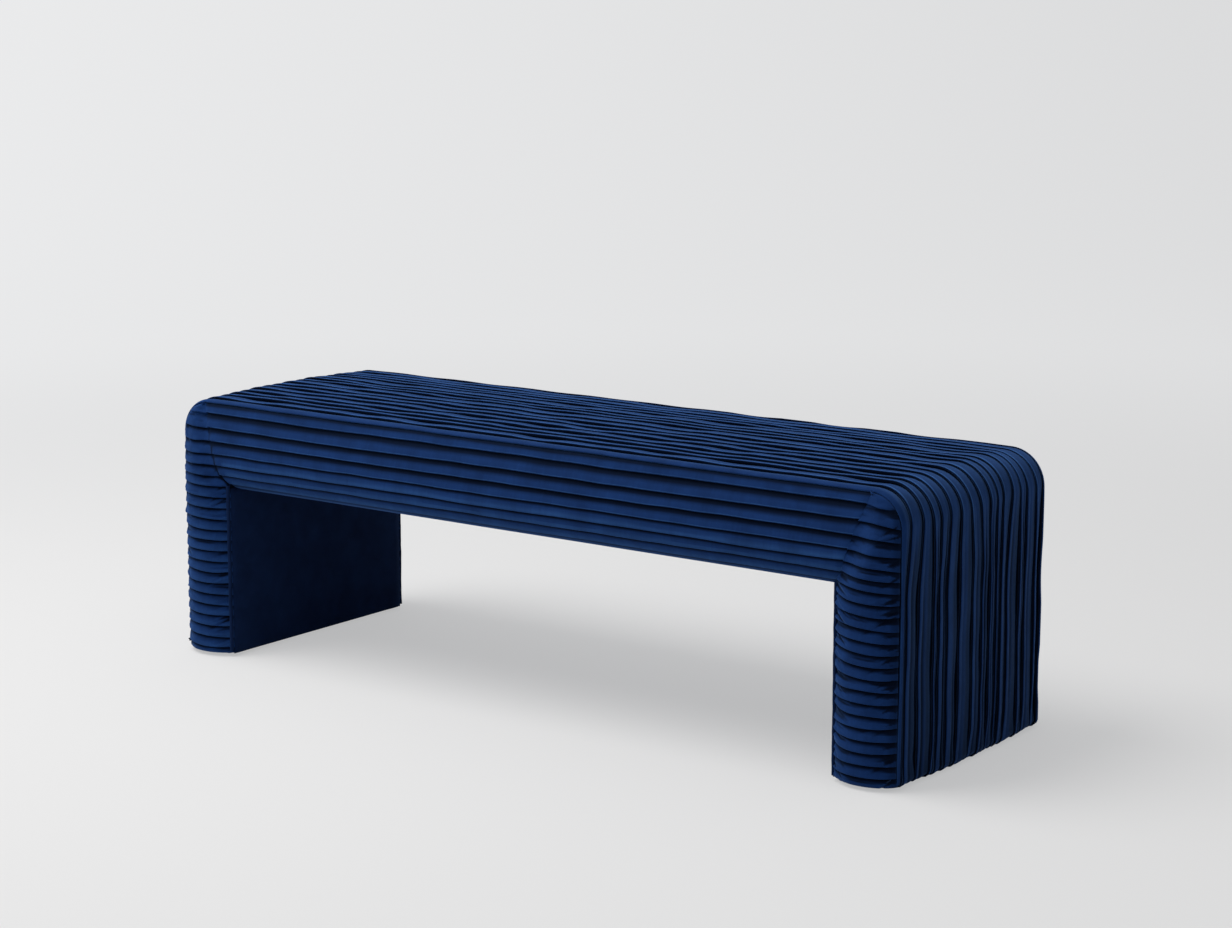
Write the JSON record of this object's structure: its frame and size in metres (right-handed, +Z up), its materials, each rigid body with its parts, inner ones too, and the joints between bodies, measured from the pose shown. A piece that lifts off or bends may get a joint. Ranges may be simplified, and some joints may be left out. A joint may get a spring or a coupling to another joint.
{
  "type": "upholstered bench",
  "caption": "Backless waterfall bench with slab legs: knife-pleated navy velvet over foam on a timber and plywood frame, standing on small glides.",
  "frame": {"origin": "on the floor, under the middle of the seat", "axes": "+X along the bench, +Y to its back, +Z up"},
  "size_m": [1.475, 0.496, 0.457],
  "materials": {
    "pleated_velvet": "navy velvet, knife-pleated",
    "plain_velvet": "navy velvet, flat",
    "dust_cloth": "black non-woven cloth",
    "foam": "open-cell foam wrapped in wadding",
    "plywood": "raw birch plywood",
    "pine": "raw planed softwood",
    "glide_plastic": "moulded plastic"
  },
  "bodies": {
    "root": {"seat_cover": "pleated_velvet", "front_beam_cover": "pleated_velvet", "back_beam_cover": "pleated_velvet", "left_front_leg_cover": "pleated_velvet", "left_back_leg_cover": "pleated_velvet", "right_front_leg_cover": "pleated_velvet", "right_back_leg_cover": "pleated_velvet", "underside_cover": "plain_velvet", "left_inner_cover": "plain_velvet", "right_inner_cover": "plain_velvet", "left_front_edge_piping": "plain_velvet", "left_back_edge_piping": "plain_velvet", "right_front_edge_piping": "plain_velvet", "right_back_edge_piping": "plain_velvet", "left_foot_cover": "dust_cloth", "right_foot_cover": "dust_cloth", "seat_foam": "foam", "left_end_foam": "foam", "right_end_foam": "foam", "front_beam_foam": "foam", "back_beam_foam": "foam", "left_front_leg_foam": "foam", "left_back_leg_foam": "foam", "right_front_leg_foam": "foam", "right_back_leg_foam": "foam", "seat_deck": "plywood", "beam_base_panel": "plywood", "left_inner_panel": "plywood", "left_outer_panel": "plywood", "right_inner_panel": "plywood", "right_outer_panel": "plywood", "front_rail": "pine", "back_rail": "pine", "left_cross_rail": "pine", "centre_cross_rail": "pine", "right_cross_rail": "pine", "left_front_post": "pine", "left_back_post": "pine", "right_front_post": "pine", "right_back_post": "pine", "left_corner_rail": "pine", "left_foot_rail": "pine", "left_leg_brace": "pine", "right_corner_rail": "pine", "right_foot_rail": "pine", "right_leg_brace": "pine", "corner_blocks": "pine", "glides": "glide_plastic"}
  },
  "joints": []
}
